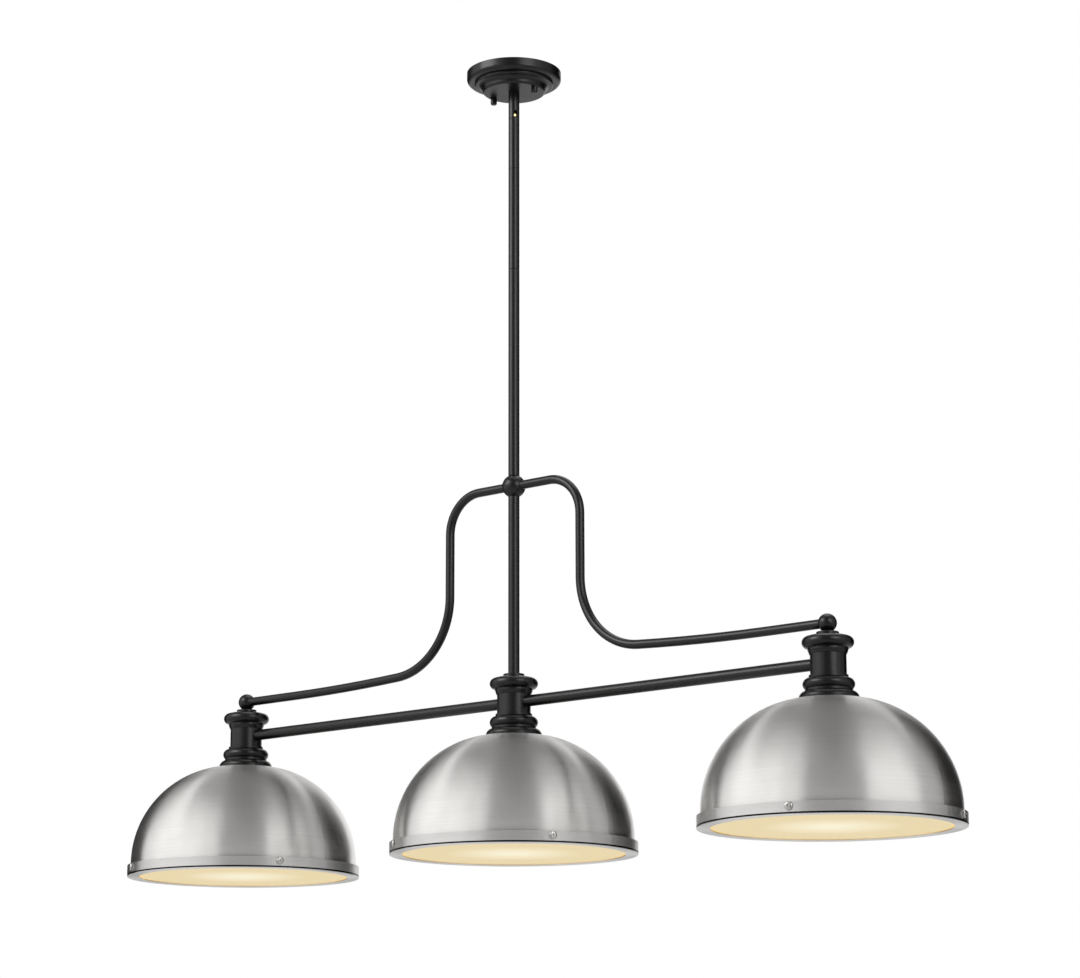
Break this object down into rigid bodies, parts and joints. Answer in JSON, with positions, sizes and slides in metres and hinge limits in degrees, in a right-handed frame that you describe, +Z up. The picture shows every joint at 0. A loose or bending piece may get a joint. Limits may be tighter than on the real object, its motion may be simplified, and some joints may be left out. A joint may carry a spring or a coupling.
{
  "type": "linear island pendant",
  "caption": "Ceiling pendant with a jointed stem, swan-neck arms and straight bars that carry a row of domed metal shades with frosted glass undersides.",
  "frame": {"origin": "on the ceiling plane, on the stem's axis, at the centre of the box strap's slots", "axes": "+Z up into the ceiling, +X along the bars and arms, +Y across them"},
  "size_m": [1.401, 0.3434, 1.1383],
  "materials": {
    "black_steel": "satin black paint",
    "brushed_shade": "spun and brushed, aged silver tone",
    "satin_ring": "satin",
    "frosted_glass": "frosted, white",
    "bright_screw": "bright",
    "bulb_plastic": "frosted white globe on a nickel screw base",
    "holder_plastic": "moulded black",
    "zinc_steel": "zinc plated",
    "green_screw": "green",
    "brass": "bare",
    "block_plastic": "moulded white",
    "connector_plastic": "moulded orange",
    "black_wire": "insulated wire",
    "bare_copper": "bare copper"
  },
  "bodies": {
    "ceiling_set": {"box_strap": "zinc_steel", "stud_strap": "zinc_steel", "strap_eyelet": "zinc_steel", "strap_studs": "zinc_steel", "stud_locknuts": "zinc_steel", "ground_screw": "green_screw", "canopy": "black_steel", "canopy_cap_nuts": "black_steel", "canopy_nipple": "zinc_steel", "nipple_locknut": "zinc_steel", "swivel_fork": "black_steel", "pivot_pin": "zinc_steel", "canopy_leads": "black_wire", "wire_connectors": "connector_plastic", "ground_lead": "bare_copper"},
    "hanging_frame": {"swivel_barrel": "black_steel", "stem_short": "black_steel", "stem_long": "black_steel", "centre_column": "black_steel", "cross_ball": "black_steel", "arm_left": "black_steel", "arm_right": "black_steel", "end_ball_left": "black_steel", "end_ball_right": "black_steel", "bar_left": "black_steel", "bar_right": "black_steel", "cap_left": "black_steel", "cup_left": "black_steel", "shade_left": "brushed_shade", "lamp_holder_left": "holder_plastic", "cap_centre": "black_steel", "cup_centre": "black_steel", "shade_centre": "brushed_shade", "lamp_holder_centre": "holder_plastic", "cap_right": "black_steel", "cup_right": "black_steel", "shade_right": "brushed_shade", "lamp_holder_right": "holder_plastic", "stem_nipples": "zinc_steel", "end_ball_studs": "zinc_steel", "holder_nipples": "zinc_steel", "holder_locknuts": "zinc_steel", "shade_nuts": "zinc_steel", "swivel_tongue": "brass", "socket_contacts": "brass", "terminal_block": "block_plastic", "lamp_leads": "black_wire", "stem_leads": "black_wire"},
    "ring_set_left": {"ring_left": "satin_ring", "glass_left": "frosted_glass", "ring_screws_left": "bright_screw"},
    "bulb_set_left": {"bulb_left": "bulb_plastic"},
    "ring_set_centre": {"ring_centre": "satin_ring", "glass_centre": "frosted_glass", "ring_screws_centre": "bright_screw"},
    "bulb_set_centre": {"bulb_centre": "bulb_plastic"},
    "ring_set_right": {"ring_right": "satin_ring", "glass_right": "frosted_glass", "ring_screws_right": "bright_screw"},
    "bulb_set_right": {"bulb_right": "bulb_plastic"}
  },
  "joints": [
    {"name": "hang_straight_swivel", "type": "hinge", "parent": "ceiling_set", "child": "hanging_frame", "pos_m": [0, 0, -0.064], "axis": [0.5373, 0.8434, 0], "range_deg": [-45, 45]},
    {"name": "ring_release_left", "type": "slide", "parent": "hanging_frame", "child": "ring_set_left", "axis": [0, 0, -1], "range_m": [0, 0.1]},
    {"name": "bulb_release_left", "type": "slide", "parent": "hanging_frame", "child": "bulb_set_left", "axis": [0, 0, -1], "range_m": [0, 0.038]},
    {"name": "ring_release_centre", "type": "slide", "parent": "hanging_frame", "child": "ring_set_centre", "axis": [0, 0, -1], "range_m": [0, 0.1]},
    {"name": "bulb_release_centre", "type": "slide", "parent": "hanging_frame", "child": "bulb_set_centre", "axis": [0, 0, -1], "range_m": [0, 0.038]},
    {"name": "ring_release_right", "type": "slide", "parent": "hanging_frame", "child": "ring_set_right", "axis": [0, 0, -1], "range_m": [0, 0.1]},
    {"name": "bulb_release_right", "type": "slide", "parent": "hanging_frame", "child": "bulb_set_right", "axis": [0, 0, -1], "range_m": [0, 0.038]}
  ]
}
